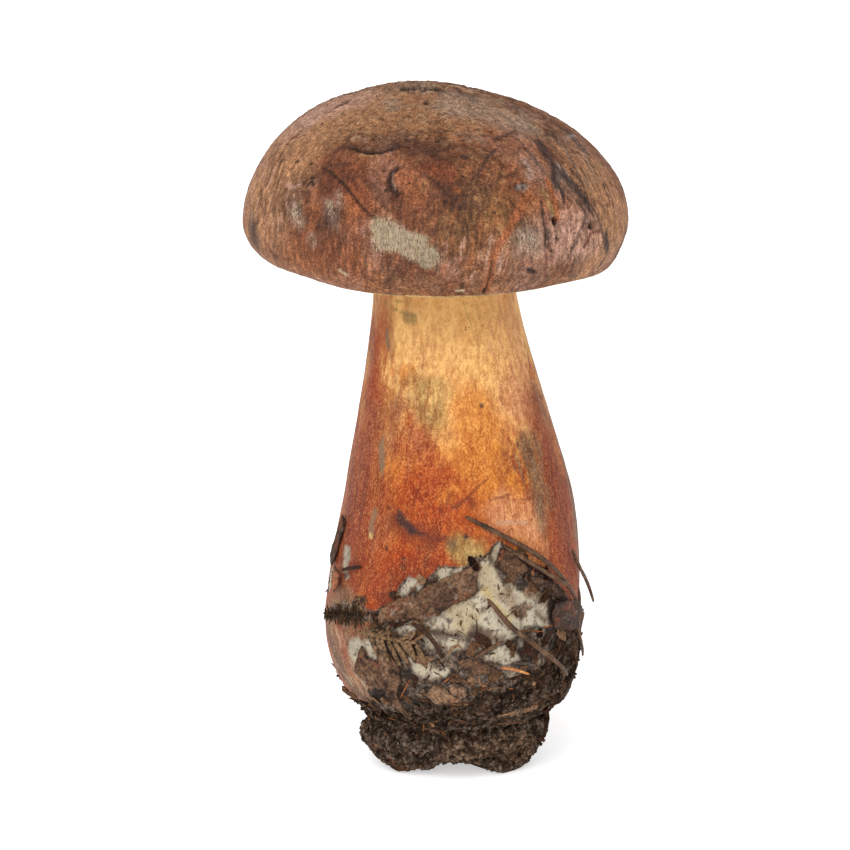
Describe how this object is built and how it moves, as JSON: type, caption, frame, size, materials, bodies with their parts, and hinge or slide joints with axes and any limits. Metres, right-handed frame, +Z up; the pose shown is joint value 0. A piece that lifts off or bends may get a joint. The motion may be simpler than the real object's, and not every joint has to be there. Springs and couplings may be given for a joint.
{
  "type": "bolete mushroom",
  "caption": "Stout bolete mushroom with a domed brown cap, a pored underside and a club-shaped orange-red stem, standing on a clod of soil with forest litter stuck to its foot.",
  "frame": {"origin": "centre of the flat spot under the soil clod, on the surface that the mushroom stands on", "axes": "+Z up along the stem, -Y towards the side that the picture shows, +X to the right of that side"},
  "size_m": [0.1088, 0.1092, 0.1977],
  "materials": {
    "cap_skin": "matt, finely grained mushroom skin",
    "pore_surface": "spongy, finely pored",
    "stem_skin": "finely dotted and fibrous mushroom skin",
    "soil": "crumbly, damp forest soil",
    "dry_leaf": "dry, papery leaf",
    "dark_leaf": "damp, rotting leaf",
    "bark": "rough bark",
    "pine_needle": "dry needle, faintly glossy",
    "pine_needle_orange": "dry needle, faintly glossy",
    "spruce_needle": "dry needle",
    "moss": "tufted dry moss"
  },
  "bodies": {
    "root": {"cap": "cap_skin", "tube_layer": "pore_surface", "stem": "stem_skin", "soil_clod": "soil", "leaf_broad": "dry_leaf", "leaf_scrap": "dark_leaf", "leaf_dark": "dark_leaf", "leaf_edge": "dark_leaf", "leaf_pointed": "dry_leaf", "leaf_long": "dry_leaf", "leaf_curled": "dry_leaf", "leaf_low": "dark_leaf", "leaf_chip_left": "dry_leaf", "leaf_chip_right": "dry_leaf", "leaf_back_broad": "dry_leaf", "leaf_back_torn": "dark_leaf", "leaf_back_low": "dry_leaf", "bark_sliver": "bark", "needle_long": "pine_needle", "needle_twin": "pine_needle", "needle_low": "pine_needle", "needle_short": "pine_needle", "needle_free": "pine_needle", "needle_edge": "pine_needle", "needle_orange": "pine_needle_orange", "needle_back_left": "pine_needle", "needle_back_right": "pine_needle", "twig_curved": "bark", "twig_small": "bark", "spruce_sprig": "spruce_needle", "moss_sprig": "moss"}
  },
  "joints": []
}
